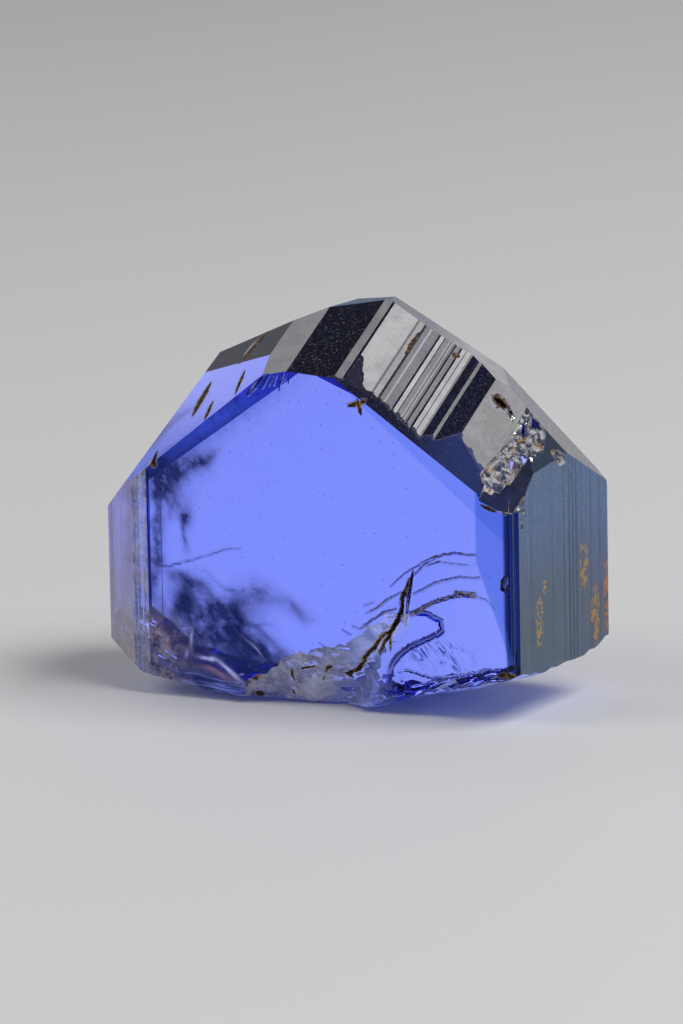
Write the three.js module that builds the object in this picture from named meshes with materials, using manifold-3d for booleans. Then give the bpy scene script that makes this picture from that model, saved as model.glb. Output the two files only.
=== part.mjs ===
import * as THREE from "three";
import { mergeVertices } from "three/addons/utils/BufferGeometryUtils.js";
import Module from "manifold-3d";

const wasm = await Module();
wasm.setup();

// A rough tanzanite crystal: a flattened upright prism with a chisel-shaped end, broken off below.
// Millimetres. X runs along the broad front face, Y from the front face to the back, Z up.
// While it is built, x = 0 is the narrow right side face, y = 0 the front face, z = 0 the floor.

// ---- Prism ----
const prismHeight = 24;
const backY = 10.9;
const frontLeftX = -21.2; // left end of the flat part of the front face
const leftTurnX = -22.25; // where the front turns into the left strip
const leftCorner = [-24.1, 1.0];
const backLeftX = -24.4; // left end of the flat part of the back face
const backLeftCorner = [-24.6, 10.6];
const rightTurn = [-0.62, 0.3]; // front-right edge: the narrow bevel's run along X and Y
const grooveDepth = 0.045; // depth of the growth grooves that run up the side faces

// ---- Chisel end ----
const zoneRise = 0.561; // rise of the end faces' common edge direction per mm towards the back
const topRight = [-10.16, 17.12]; // [x, z] on the front face: right end of the dark top facet
const topBreak = [-12.84, 17.3]; // the edge between it and the pale top facet
const paleSlope = 0.19; // how far the pale top facet falls per mm towards the left

// Growth steps down the right slope, from the dark top facet on: [run along X, fall].
const growthSteps = [
  [0.37, 0.19], [0.17, 0], [1.35, 0.74], [0.13, 0.04], [0.26, 0.17], [0.16, 0],
  [0.19, 0.19], [0.09, 0.03], [0.33, 0.33], [0.13, 0], [0.15, 0.17], [0.06, 0],
  [0.19, 0.2], [0.05, 0.01], [0.09, 0.1], [0.05, 0.01], [0.09, 0.1], [0.1, 0],
  [0.18, 0.2], [0.13, 0], [0.15, 0.18], [0.05, 0], [0.18, 0.21],
  [0.08, 0.07], [0.56, 0.02], [0.13, 0.13], [1.24, 0.05], [1.5, 1.62], [2.6, 0.8],
];

// ---- Helpers ----
// A solid of a closed geometry; points closer than `weld` become one, and the slivers between them go.
const toSolid = (geometry, weld = 1e-4) => {
  const bare = geometry.clone();
  for (const name of Object.keys(bare.attributes)) {
    if (name !== "position") bare.deleteAttribute(name);
  }
  const merged = mergeVertices(bare, weld);
  const corners = merged.index.array;
  const kept = [];
  for (let i = 0; i < corners.length; i += 3) {
    const [a, b, c] = corners.slice(i, i + 3);
    if (a !== b && b !== c && c !== a) kept.push(a, b, c);
  }
  return new wasm.Manifold(
    new wasm.Mesh({
      numProp: 3,
      vertProperties: new Float32Array(merged.attributes.position.array),
      triVerts: new Uint32Array(kept),
    }),
  );
};

const toGeometry = (solid) => {
  const mesh = solid.getMesh();
  const geometry = new THREE.BufferGeometry();
  geometry.setAttribute("position", new THREE.BufferAttribute(mesh.vertProperties, 3));
  geometry.setIndex(new THREE.BufferAttribute(mesh.triVerts, 1));
  return geometry;
};

const vec = (p) => new THREE.Vector3(...p);
const upward = new THREE.Vector3(0, 0, 1);

// A repeatable number from 0 to 1 for a pair of whole numbers.
const speckle = (i, j, seed) => {
  const s = Math.sin(i * 127.1 + j * 311.7 + seed * 74.7) * 43758.5453;
  return s - Math.floor(s);
};

// Everything beyond a plane: a big block whose bottom face lies in the plane.
const blockSize = 60;
const beyond = (point, normal) => {
  const block = new THREE.BoxGeometry(blockSize, blockSize, blockSize);
  block.translate(0, 0, blockSize / 2);
  block.applyQuaternion(new THREE.Quaternion().setFromUnitVectors(upward, vec(normal).normalize()));
  block.translate(...point);
  return toSolid(block);
};

// Everything above a sloping facet that passes through `point` and rises by riseX and riseY per mm.
const aboveFacet = (point, riseX, riseY) => beyond(point, [-riseX, -riseY, 1]);

// ---- Prism: the plan outline, with fine growth grooves on the side faces ----
const outline = new THREE.Shape();
const groovedLine = (from, to, grooves) => {
  const a = new THREE.Vector2(...from);
  const b = new THREE.Vector2(...to);
  const along = b.clone().sub(a);
  const inward = new THREE.Vector2(-along.y, along.x).normalize();
  for (const [at, width, depth] of grooves) {
    for (const [share, d] of [[-0.5, 0], [-0.17, depth], [0.17, depth], [0.5, 0]]) {
      const p = a.clone().addScaledVector(along, at + share * width);
      p.addScaledVector(inward, d * grooveDepth);
      outline.lineTo(p.x, p.y);
    }
  }
  outline.lineTo(b.x, b.y);
};
outline.moveTo(frontLeftX, 0);
outline.lineTo(rightTurn[0], 0);
groovedLine([rightTurn[0], 0], [0, rightTurn[1]], [[0.3, 0.2, 1], [0.65, 0.2, 1]]);
groovedLine([0, rightTurn[1]], [0, 10.3], [
  [0.12, 0.04, 0.5], [0.36, 0.03, 0.5], [0.5, 0.02, 0.7], [0.56, 0.02, 1], [0.6, 0.02, 1],
  [0.64, 0.02, 1], [0.7, 0.03, 0.6], [0.8, 0.03, 0.8], [0.9, 0.03, 0.6],
]);
outline.lineTo(-0.35, backY);
groovedLine([-0.35, backY], [backLeftX, backY], [[0.03, 0.01, 1], [0.06, 0.01, 0.8], [0.97, 0.008, 1]]);
outline.lineTo(...backLeftCorner);
groovedLine(backLeftCorner, leftCorner, [[0.2, 0.05, 1], [0.45, 0.05, 1], [0.8, 0.05, 1]]);
groovedLine(leftCorner, [leftTurnX, 0.13], [[0.3, 0.1, 0.5], [0.62, 0.12, 0.5]]);
groovedLine([leftTurnX, 0.13], [frontLeftX, 0], [[0.15, 0.16, 1], [0.4, 0.16, 1], [0.7, 0.2, 0.8]]);
const prism = toSolid(
  new THREE.ExtrudeGeometry(outline, { depth: prismHeight, bevelEnabled: false }).translate(0, 0, -1),
);

// ---- Chisel end: a stepped profile carried up and back along the common edge direction ----
const profile = new THREE.Shape();
profile.moveTo(-30, -10);
profile.lineTo(4, -10);
const stepPoints = [[...topRight]];
for (const [run, fall] of growthSteps) {
  const [x, z] = stepPoints.at(-1);
  stepPoints.push([x + run, z - fall]);
}
for (const [x, z] of stepPoints.reverse()) profile.lineTo(x, z);
profile.lineTo(...topBreak);
profile.lineTo(topBreak[0] - 18, topBreak[1] - 18 * paleSlope);
const roof = new THREE.ExtrudeGeometry(profile, { depth: 40, bevelEnabled: false });
// local x, y and z become X, Z and the way down towards the front
const reach = 25;
roof.applyMatrix4(
  new THREE.Matrix4().set(1, 0, 0, 0, 0, 0, -1, reach, 0, 1, -zoneRise, reach * zoneRise, 0, 0, 0, 1),
);

let stone = prism.intersect(toSolid(roof));

// ---- Flat end faces ----
const endFacets = [
  aboveFacet([-22.13, 0, 11.12], 0.749, 0.7), // left bevel, along the front face's upper left edge
  aboveFacet([-20.65, 5.39, 16], 0.66, 0.56), // grey facet behind the left bevel
  aboveFacet([-20.65, 5.39, 16], 1.23, 0.515), // blunt left edge of both, down to the left strip
  aboveFacet([-10.16, 0, 17.12], -0.666, 2.08), // front bevel, along the upper right edge
  aboveFacet([0, 1.94, 12.6], -1.35, 0.12), // ledge facet above the right side face
  aboveFacet([0, 6.09, 12.9], -1.044, -0.474), // broad facet at the top right
  aboveFacet([-9.6, 5.7, 20.15], -0.582, -0.16), // narrow rim behind the growth steps
  aboveFacet([-10.26, 5.53, 20.29], 0.14, 0), // flat rim behind the dark top facet
  aboveFacet([-12.9, 4.62, 19.92], 0.4, 0), // back of the pale top facet
  beyond([-9, 6.9, 19.8], [0.22, 0.8, 0.55]), // back of the end
  aboveFacet([-19.16, backY, 13.62], 0.682, -1.05), // back bevel on the left, facing the front one
  beyond([-5.31, backY, 9.48], [0.088, 0.99, 0.108]), // low growth hill on the back face, upper right
  beyond([-5.34, backY, 0], [0.11, 0.994, 0]), // and right
];
for (const tool of endFacets) stone = stone.subtract(tool);

// ---- Broken surfaces ----
// A block with one side, its top, raised to heightAt(x, y); the rest of it is plain.
const brokenBlock = (width, length, cell, heightAt) => {
  const thick = 6;
  const [across, along] = [width, length].map((side) => Math.round(side / cell));
  const block = new THREE.BoxGeometry(width, length, thick, across, along, 1);
  const points = block.attributes.position;
  for (let i = 0; i < points.count; i += 1) {
    if (points.getZ(i) > 0) points.setZ(i, heightAt(points.getX(i), points.getY(i)));
  }
  return block;
};

// The value at x of a line through [x, value] knots.
const alongKnots = (x, knots) => {
  let k = 1;
  while (k < knots.length - 1 && x > knots[k][0]) k += 1;
  const [[x0, z0], [x1, z1]] = [knots[k - 1], knots[k]];
  return z0 + ((z1 - z0) * (x - x0)) / (x1 - x0);
};

// Underside: rises from a flat resting spot towards every side.
const lowCentre = [-11.5, 5.3];
const lowCell = 0.62;
const lowRelief = 0.3;
const lowAlongX = [
  [-25, 2.9], [-23.9, 2.3], [-22.9, 1.5], [-22.2, 1.1], [-21.8, 0.8], [-20.6, 0.5], [-18.3, 0.17],
  [-15.5, 0], [-8.6, 0], [-6.7, 0.7], [-3.8, 1.3], [-1, 2.0], [0, 2.35], [1, 2.6],
];
const lowAlongY = [[-1, 0.45], [0, 0.3], [1.9, 0], [8.2, 0], [11, 0.7]];
const underside = brokenBlock(28, 14, lowCell, (x, y) => {
  const base = alongKnots(x + lowCentre[0], lowAlongX) + alongKnots(y + lowCentre[1], lowAlongY);
  const rough = Math.max(0, speckle(Math.round(x / lowCell), Math.round(y / lowCell), 1) - 0.3);
  return base + Math.min(1, base * 3) * lowRelief * rough;
});
underside.translate(lowCentre[0], lowCentre[1], 0);
stone = stone.subtract(toSolid(underside));

// Rough break that takes off the lower middle of the front face, down to the underside.
const breakFrom = new THREE.Vector3(-15.1, 0, 1.5); // its upper edge on the front face, left end
const breakTo = new THREE.Vector3(-6.7, 0, 5.1); // and right end
const breakTilt = 35; // degrees from the front face
const breakCell = 0.38;
const breakRelief = 0.2;
const edgeDir = breakTo.clone().sub(breakFrom).normalize();
const downDir = new THREE.Vector3(edgeDir.z, 0, -edgeDir.x);
const tilt = THREE.MathUtils.degToRad(breakTilt);
const inDir = downDir.clone().multiplyScalar(-Math.sin(tilt)).add(new THREE.Vector3(0, Math.cos(tilt), 0));
const upDir = inDir.clone().cross(edgeDir);
const breakLength = breakTo.distanceTo(breakFrom) + 3;
const frontBreak = brokenBlock(breakLength, 12, breakCell, (x, y) => {
  const rough = speckle(Math.round(x / breakCell), Math.round(y / breakCell), 2) - 0.5;
  const swell = 0.25 * Math.sin(1.1 * x + 0.6) * Math.sin(0.9 * y - 0.4);
  // both ends close off steeply, the right one along a slanting crack
  const pastCrack = x - (breakLength / 2 - 1.4) + 1.5 * y;
  const pastLeftEnd = -x - breakLength / 2 + 0.9 - 0.3 * y;
  const closing = Math.min(1.8, 3.5 * Math.max(0, pastCrack, pastLeftEnd));
  return breakRelief * rough + swell - closing;
});
frontBreak.applyMatrix4(new THREE.Matrix4().makeBasis(edgeDir, upDir, inDir));
frontBreak.translate(...breakFrom.clone().add(breakTo).multiplyScalar(0.5).toArray());
stone = stone.subtract(toSolid(frontBreak));

// Shell-shaped fracture scoops, one in another, on the lower right of the front face.
const scoop = ({ x, z, halfWidth, halfHeight, from, depth, bow }) => {
  const spread = 1 / Math.sqrt(1 - ((bow - depth) / bow) ** 2);
  const ball = new THREE.SphereGeometry(1, 44, 30);
  ball.rotateX(Math.PI / 2);
  ball.scale(halfWidth * spread, bow, halfHeight * spread);
  ball.translate(x, from + depth - bow, z);
  return toSolid(ball);
};
const scoops = [
  scoop({ x: -3.7, z: 2.9, halfWidth: 3.2, halfHeight: 5.6, from: 0, depth: 0.35, bow: 2.5 }),
  scoop({ x: -4.1, z: 1.2, halfWidth: 4.1, halfHeight: 5.2, from: 0.12, depth: 0.35, bow: 2.5 }),
  scoop({ x: -4.2, z: 0.6, halfWidth: 4.2, halfHeight: 4.0, from: 0.28, depth: 0.3, bow: 2.5 }),
];
for (const tool of scoops) stone = stone.subtract(tool);

// Small facet notched into the front right corner, at the end of the front bevel.
const cornerNotch = new THREE.BoxGeometry(5, 5, 3);
cornerNotch.translate(0.95, 1.2, 1.5);
cornerNotch.applyQuaternion(
  new THREE.Quaternion().setFromUnitVectors(upward, vec([0.4, -1, 1]).normalize()),
);
cornerNotch.translate(-0.6, 0, 10.85);
stone = stone.subtract(toSolid(cornerNotch));

// Chipped, crumbly trough between the last bright growth facet and the ledge above the side face.
const chipCell = 0.24;
const chipRelief = 0.5;
const chipped = brokenBlock(1.5, 5.4, chipCell, (x, y) => {
  const rough = speckle(Math.round(x / chipCell), Math.round(y / chipCell), 3);
  const dish = 1 - (x / 0.85) ** 2 - (y / 2.9) ** 4;
  return dish > 0 ? 0.15 + chipRelief * rough * dish : -0.6;
});
chipped.applyMatrix4(
  new THREE.Matrix4().makeBasis(
    new THREE.Vector3(-0.92, 0, 0.39).normalize(),
    new THREE.Vector3(0.14, 0.86, 0.48).normalize(),
    new THREE.Vector3(-0.36, 0.44, -0.82).normalize(),
  ),
);
chipped.translate(-1.35, 2.75, 13.2);
stone = stone.subtract(toSolid(chipped));

// ---- Etch pits and nicks: long narrow lens shapes let into the faces ----
const leftBevelFace = [-0.52, -0.49, 0.7];
const greyFace = [-0.5, -0.43, 0.76];
const frontFace = [0, -1, 0];
const sideFace = [1, 0, 0];
const lastStepFace = [0.66, -0.34, 0.67];
// [middle, direction of the length, face it lies in, [length, width, depth of the whole lens]], mm
const etchPits = [
  // blades on the left bevel and the grey facet behind it
  [[-19.32, 2.66, 15.09], [-0.05, 0.84, 0.55], leftBevelFace, [2.1, 0.34, 0.3]],
  [[-16.17, 1.14, 16.39], [-0.21, 0.87, 0.45], leftBevelFace, [1.7, 0.2, 0.24]],
  [[-17.83, 0.77, 14.88], [-0.2, 0.87, 0.46], leftBevelFace, [1.4, 0.22, 0.24]],
  [[-20.74, 0.05, 12.13], [-0.23, 0.87, 0.44], leftBevelFace, [1.6, 0.26, 0.24]],
  [[-17.38, 4.56, 17.55], [0.21, 0.79, 0.58], greyFace, [1.8, 0.34, 0.36]],
  // hackles below the top edge of the front face
  [[-14.53, 0, 16.58], [0.65, 0, 0.76], frontFace, [1.6, 0.22, 0.3]],
  [[-13.72, 0, 16.75], [0.5, 0, 0.87], frontFace, [0.8, 0.16, 0.24]],
  [[-13.21, 0, 16.62], [0.18, 0, 0.98], frontFace, [0.8, 0.13, 0.2]],
  [[-12.91, 0, 16.93], [0.46, 0, 0.89], frontFace, [0.55, 0.12, 0.2]],
  [[-12.71, 0, 16.86], [0.16, 0, 0.99], frontFace, [0.45, 0.1, 0.2]],
  // three-legged pit near the upper right edge
  [[-9.13, 0, 15.95], [0.96, 0, 0.29], frontFace, [0.7, 0.12, 0.16]],
  [[-8.73, 0, 15.78], [0.25, 0, -0.97], frontFace, [0.7, 0.13, 0.16]],
  [[-8.5, 0, 16.05], [0.7, 0, 0.7], frontFace, [0.4, 0.11, 0.14]],
  // forked crack above the rough break, and its run down between break and scoops
  [[-6.06, 0.05, 6.5], [-0.21, 0, -0.98], frontFace, [2.5, 0.24, 0.6]],
  [[-6.5, 0.1, 5.6], [-0.1, 0, -0.99], frontFace, [1.6, 0.14, 0.5]],
  [[-7.1, 0.1, 4.6], [0.62, 0, 0.78], frontFace, [1.5, 0.2, 0.6]],
  // nick on the front right edge
  [[-0.62, 0.02, 7.4], [0.29, 0, 0.96], [-0.5, -0.86, 0], [0.85, 0.32, 0.24]],
  // pits in the growth steps and the last bright facet
  [[-3, 4.22, 15.62], [0.73, 0.23, -0.65], lastStepFace, [0.9, 0.46, 0.5]],
  [[-2.6, 4.3, 15.2], [0.64, -0.14, -0.76], lastStepFace, [1.4, 0.28, 0.3]],
  [[-5.9, 5.1, 17.75], [0.79, 0.27, -0.56], lastStepFace, [0.32, 0.3, 0.24]],
  // bubble-like chip on the side face's upper edge, and small pits below the corner
  [[-0.05, 5.02, 12.93], [0, 0.69, -0.72], [0.93, 0, 0.37], [1.5, 0.9, 0.36]],
  [[0, 0.62, 11.35], [0, 0.4, -0.92], sideFace, [1.3, 0.5, 0.3]],
  [[0, 0.66, 10.3], [0, 0.2, -0.98], sideFace, [0.6, 0.24, 0.16]],
];
for (const [middle, direction, face, [long, wide, deep]] of etchPits) {
  const lens = new THREE.SphereGeometry(0.5, 10, 6);
  lens.scale(wide, long, deep);
  const up = vec(face).normalize();
  const run = vec(direction).addScaledVector(up, -vec(direction).dot(up)).normalize();
  lens.applyMatrix4(new THREE.Matrix4().makeBasis(run.clone().cross(up), run, up));
  lens.translate(...middle);
  stone = stone.subtract(toSolid(lens));
}

// ---- Part ----
const weldStep = 0.012; // corners closer than this are one
const geometry = toGeometry(toSolid(toGeometry(stone), weldStep));
geometry.computeBoundingBox();
const box = geometry.boundingBox;
geometry.translate(-(box.min.x + box.max.x) / 2, -(box.min.y + box.max.y) / 2, -box.min.z);

const crystal = new THREE.Mesh(
  geometry,
  new THREE.MeshStandardMaterial({ color: 0x5a62d8, roughness: 0.12, metalness: 0 }),
);
crystal.name = "tanzanite_crystal";

const part = new THREE.Group();
part.add(crystal);
export default part;
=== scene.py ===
import math
import bmesh
import bpy
import numpy as np
from mathutils import Matrix, Vector, noise
from mathutils.bvhtree import BVHTree


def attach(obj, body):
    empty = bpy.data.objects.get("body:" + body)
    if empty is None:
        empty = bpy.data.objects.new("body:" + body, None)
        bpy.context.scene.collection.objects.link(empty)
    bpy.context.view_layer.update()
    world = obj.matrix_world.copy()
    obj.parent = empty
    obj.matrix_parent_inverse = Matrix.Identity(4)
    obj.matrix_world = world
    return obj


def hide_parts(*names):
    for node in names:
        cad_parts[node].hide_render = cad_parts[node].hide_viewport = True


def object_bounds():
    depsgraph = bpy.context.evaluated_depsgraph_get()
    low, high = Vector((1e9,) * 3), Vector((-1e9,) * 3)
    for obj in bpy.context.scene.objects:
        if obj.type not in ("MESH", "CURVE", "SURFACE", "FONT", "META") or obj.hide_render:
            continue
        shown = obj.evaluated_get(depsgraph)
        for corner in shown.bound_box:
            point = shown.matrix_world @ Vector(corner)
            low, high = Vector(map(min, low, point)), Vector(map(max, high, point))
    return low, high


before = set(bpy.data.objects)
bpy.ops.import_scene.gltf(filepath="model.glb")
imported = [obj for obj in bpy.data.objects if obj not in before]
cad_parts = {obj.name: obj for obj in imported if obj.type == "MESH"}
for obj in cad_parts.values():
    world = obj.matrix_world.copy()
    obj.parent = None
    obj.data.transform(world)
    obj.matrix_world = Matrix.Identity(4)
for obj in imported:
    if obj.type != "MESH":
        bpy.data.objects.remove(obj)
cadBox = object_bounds()
mm = 0.001
rightX, frontY = 12.3, -5.45  # where the right side face and the front face lie, in mm


def spot(x, y, z):  # millimetres from the right side face, from the front face and from the floor
    return Vector((x + rightX, y + frontY, z)) * mm


# camera
view = dict(azimuth=28.6773, elevation=10.3768, roll=-1.15, distance=308.68,
            target=(-12.013, 4.0, 9.482), lens=212.7, sensor=36, clip=0.01)


def makeCamera():
    a, e, r = (math.radians(view[k]) for k in ("azimuth", "elevation", "roll"))
    back = Vector((math.sin(a) * math.cos(e), -math.cos(a) * math.cos(e), math.sin(e)))
    right = Vector((math.cos(a), math.sin(a), 0))
    up = back.cross(right)
    right, up = math.cos(r) * right + math.sin(r) * up, math.cos(r) * up - math.sin(r) * right
    data = bpy.data.cameras.new("camera")
    data.sensor_fit = "VERTICAL"
    data.sensor_height = view["sensor"]
    data.lens = view["lens"]
    data.clip_start = view["clip"]
    camera = bpy.data.objects.new("camera", data)
    bpy.context.scene.collection.objects.link(camera)
    place = spot(*view["target"]) + back * view["distance"] * mm
    camera.matrix_world = Matrix.Translation(place) @ Matrix((right, up, back)).transposed().to_4x4()
    bpy.context.scene.camera = camera


makeCamera()
print("camera done")


# small helpers for materials
def newMaterial(name):
    material = bpy.data.materials.new(name)
    material.use_nodes = True
    return material, material.node_tree, material.node_tree.nodes["Principled BSDF"]


def put(tree, kind, links=None, **values):  # one node: set its fields and sockets, then link what feeds it
    node = tree.nodes.new("ShaderNode" + kind)
    for name, value in values.items():
        if hasattr(node, name):
            setattr(node, name, value)
        else:
            node.inputs[name].default_value = value
    for socket, source in (links or {}).items():
        tree.links.new(source, node.inputs[socket])
    return node


def calc(tree, operation, a, b=0.0, c=0.0):  # a Math node on numbers or sockets
    node = tree.nodes.new("ShaderNodeMath")
    node.operation = operation
    for k, value in enumerate((a, b, c)):
        if isinstance(value, (int, float)):
            node.inputs[k].default_value = value
        else:
            tree.links.new(value, node.inputs[k])
    return node.outputs[0]


def ramp(tree, source, low, high, fromValue=0.0, toValue=1.0):  # smooth step from low to high
    node = put(tree, "MapRange", {"Value": source}, interpolation_type="SMOOTHSTEP")
    for name, value in {"From Min": low, "From Max": high, "To Min": fromValue, "To Max": toValue}.items():
        node.inputs[name].default_value = value
    return node.outputs["Result"]


def times(tree, a, b):
    return calc(tree, "MULTIPLY", a, b)


def vectorCalc(tree, operation, a, b=(0, 0, 0)):  # a Vector Math node on a socket and a fixed vector
    node = put(tree, "VectorMath", {0: a}, operation=operation)
    node.inputs[1].default_value = b
    return node.outputs


def axis(tree, place, which):  # one coordinate: 0, 1 or 2
    return put(tree, "SeparateXYZ", {"Vector": place}).outputs[which]


def apart(tree, place, middle, reach):  # 0 at the middle of an ellipsoid, 1 on its surface
    share = vectorCalc(tree, "DIVIDE", vectorCalc(tree, "SUBTRACT", place, middle)[0], reach)[0]
    return vectorCalc(tree, "LENGTH", share)["Value"]


def pastPlane(tree, place, facing, point):  # how far a place lies past a plane
    along = vectorCalc(tree, "DOT_PRODUCT", place, facing)["Value"]
    return calc(tree, "SUBTRACT", along, facing.dot(point))


def middleLine(tree, pattern, low, high):  # 1 along the middle level of a soft pattern
    return ramp(tree, calc(tree, "ABSOLUTE", calc(tree, "SUBTRACT", pattern, 0.5)), low, high, 1, 0)


def mixColor(tree, share, a, b, kind="MIX"):
    node = tree.nodes.new("ShaderNodeMix")
    node.data_type = "RGBA"
    node.blend_type = kind
    for socket, value in (("Factor", share), ("A", a), ("B", b)):
        wanted = "VALUE" if socket == "Factor" else "RGBA"
        place = next(s for s in node.inputs if s.name == socket and s.type == wanted)
        if isinstance(value, bpy.types.NodeSocket):
            tree.links.new(value, place)
        else:
            place.default_value = value if socket == "Factor" else (*value, 1)
    return next(s for s in node.outputs if s.type == "RGBA")


def addObject(name, mesh):
    thing = bpy.data.objects.new(name, mesh)
    bpy.context.scene.collection.objects.link(thing)
    return thing


# floor, room and softboxes
studio = dict(floorSize=6.0, floorDrop=0.02, floorColor=(0.82, 0.82, 0.83), floorRoughness=0.6,
              glowSeenThrough=0.45,  # painted glow: the floor emits light only where it is seen through glass
              room=0.15, aim=10)  # height in mm that the softboxes point at
softboxes = dict(
    # direction from the stone, distance, width and height in metres, brightness
    overhead=((0.60, 0.02, 0.80), 0.60, (0.48, 0.30), 5.3),
    leftBack=((-0.66, 0.39, 0.64), 0.75, (0.28, 0.14), 1.6),
    backCard=((-0.10, 0.97, 0.20), 0.80, (0.66, 0.36), 0.4),
    leftCard=((-0.84, 0.52, 0.16), 0.80, (0.60, 0.34), 0.12),
    leftFront=((-0.55, -0.50, 0.67), 0.65, (0.36, 0.30), 2.1),
)


def makeStudio():
    scene = bpy.context.scene
    world = bpy.data.worlds.new("room")
    world.use_nodes = True
    world.node_tree.nodes["Background"].inputs["Color"].default_value = (1, 1, 1, 1)
    world.node_tree.nodes["Background"].inputs["Strength"].default_value = studio["room"]
    scene.world = world
    mesh = bpy.data.meshes.new("floor")
    bm = bmesh.new()
    bmesh.ops.create_grid(bm, x_segments=1, y_segments=1, size=studio["floorSize"] / 2)
    bmesh.ops.translate(bm, verts=bm.verts, vec=(0, 0, -studio["floorDrop"] * mm))
    bm.to_mesh(mesh)
    bm.free()
    floor = addObject("floor", mesh)
    material, tree, shader = newMaterial("paleFloor")
    shader.inputs["Base Color"].default_value = (*studio["floorColor"], 1)
    shader.inputs["Roughness"].default_value = studio["floorRoughness"]
    shader.inputs["Emission Color"].default_value = (1, 1, 1, 1)
    # painted light: the floor glows only for rays that have come through the glass
    through = put(tree, "LightPath").outputs["Is Transmission Ray"]
    tree.links.new(times(tree, through, studio["glowSeenThrough"]), shader.inputs["Emission Strength"])
    mesh.materials.append(material)
    for name, (toward, distance, size, brightness) in softboxes.items():
        light = bpy.data.lights.new(name, "AREA")
        light.shape = "RECTANGLE"
        light.size, light.size_y = size
        light.energy = brightness * math.pi * size[0] * size[1]
        lamp = bpy.data.objects.new(name, light)
        scene.collection.objects.link(lamp)
        toward = Vector(toward).normalized()
        lamp.location = toward * distance + Vector((0, 0, studio["aim"] * mm))
        lamp.rotation_euler = toward.to_track_quat("Z", "Y").to_euler()
        lamp.visible_camera = False
    scene.view_settings.view_transform = "Standard"


makeStudio()
print("studio done")

# crystal
crystal = dict(
    ior=1.694, glare=0.22, tint=(0.034, 0.193, 0.982), density=145, polish=0.02, satin=0.12,
    # painted shade: the nearly black colour below darkens the shaded facets
    shadedFacet=(0.0008, 0.0009, 0.005), brown=(0.10, 0.035, 0.008), shadow=(0.01, 0.03, 0.16),
    # painted shade: the three band colours of the front face
    band=(0.50, 0.66, 0.86), endBand=(0.25, 0.42, 0.68), edgeBand=(0.004, 0.03, 0.10),
    merge=0.002, flat=0.2,  # mm between points taken as one, degrees between faces taken as one
    wander=0.014, runOut=0.35,  # mm by which the carved lines wander, share of their depth left at the ends
    lineDepth=1.6,  # mm behind the front face over which the lines and their colours are read
    fineEdge=0.1, growth=1.0,  # longest edge in mm along the lines, and how fast it grows away from them
    # height in mm and grain of the rough surfaces
    relief={"broken": (0.06, 0.8), "under": (0.03, 0.5), "underLeft": (0.02, 0.35), "chipped": (0.2, 2.2)},
    reliefFrom=0.02,  # the relief of the underside starts this high above the floor, in mm
    shrink=0.999,  # keeps the lifted skin inside the solid's box
    growthLines=4.0, etching=(13.0, 0.3, 0.7),  # scale of the lines, then scale and levels of the etching
    bump=dict(etching=0.3, lines=0.2, strength=0.25, height=0.03),
)
# each kind of surface: frost, painted shade of the glass that also sets its roughness and bump, kind of film
# or none
surfaces = dict(
    front=(0.0, 0.0, None), steps=(0.0, 1.0, "etched"), chipped=(0.85, 0.9, "chipped"),
    broken=(0.72, 0.1, "milky"), under=(0.22, 0.1, "milky"),
    underLeft=(0.8, 0.2, "milky"), pit=(0.9, 0.92, "rust"),
    rightSide=(0.38, 0.97, "satin"), rightBevel=(0.0, 0.8, None), frontBevel=(0.10, 0.999, "etched"),
    leftBevel=(0.52, 0.0, "violet"), bluntEdge=(0.30, 0.4, "lilac"), greyFacet=(0.02, 1.0, "satin"),
    leftStrip=(0.74, 0.3, "lilac"), striae=(0.5, 0.15, "milky"), leftSide=(0.30, 0.3, "lilac"),
    ledge=(0.12, 0.995, "satin"), broad=(0.35, 0.9, "etched"), rim=(0.62, 0.9, "etched"),
    flatRim=(0.3, 0.9, "satin"), corner=(0.04, 0.999, "milky"), mottled=(1.0, 0.0, "mottled"),
)
surfaceNames = list(surfaces)
skinKinds = ["etched", "satin", "lilac", "milky", "chipped", "rust", "mottled", "violet"]
facings = dict(  # the direction each flat face looks in
    frontBevel=(0.277, -0.866, 0.416), leftBevel=(-0.523, -0.489, 0.698), bluntEdge=(-0.738, -0.309, 0.6),
    greyFacet=(-0.499, -0.423, 0.756), ledge=(0.802, -0.071, 0.593), broad=(0.686, 0.312, 0.657),
    rim=(0.498, 0.137, 0.856), flatRim=(-0.139, 0, 0.99), corner=(0.272, -0.680, 0.680),
)
# painted shade on the front face: line above which the colour is deeper, end band and where it narrows, edge
# band, and the half width in mm over which each of the three sets in
bands = dict(corner=(-2.27, 0, 10.69), facing=(0.63, 0, 0.777), endFrom=-2.27, narrowsAt=8.4, narrowing=0.35,
             edgeFrom=-0.75, softness=(0.05, 0.08, 0.1), depth=0.4)
stepSlant = Vector((0, 1, 0.561)).normalized()  # the direction in which the growth steps run
# growth steps from left to right: [right end in mm along the front, frost]
growthSteps = [
    [-12.84, 0.45], [-10.16, 0.004], [-9.79, 0.45], [-9.62, 0.004], [-8.27, 0.92], [-8.14, 0.4], [-7.88, 0.8],
    [-7.72, 0.05], [-7.53, 0.35], [-7.44, 0.9], [-7.11, 0.35], [-6.98, 0.004], [-6.83, 1.0], [-6.77, 0.004],
    [-6.58, 0.4], [-6.53, 1.0], [-6.44, 0.3], [-6.39, 1.0], [-6.30, 0.3], [-6.20, 0.004], [-6.02, 0.4],
    [-5.89, 0.004], [-5.74, 1.0], [-5.69, 0.004], [-5.51, 1.0], [-5.43, 0.4], [-4.87, 0.004], [-4.74, 0.4],
    [-3.50, 0.004], [-2.00, 0.56],
]
# zones that need small faces: lowest corner, highest corner and longest edge in mm
zones = dict(
    broken=((-16.4, 0, 0), (-6.0, 6.5, 5.3), 0.2),
    chipped=((-2.7, 0, 10.6), (0.1, 6.2, 16.2), 0.16),
    under=((-25, 0, 0), (0, 11, 2.6), 0.5),
    mottled=((-21.3, 0, 0), (-18, 0.1, 5.4), 0.4),
)
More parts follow.
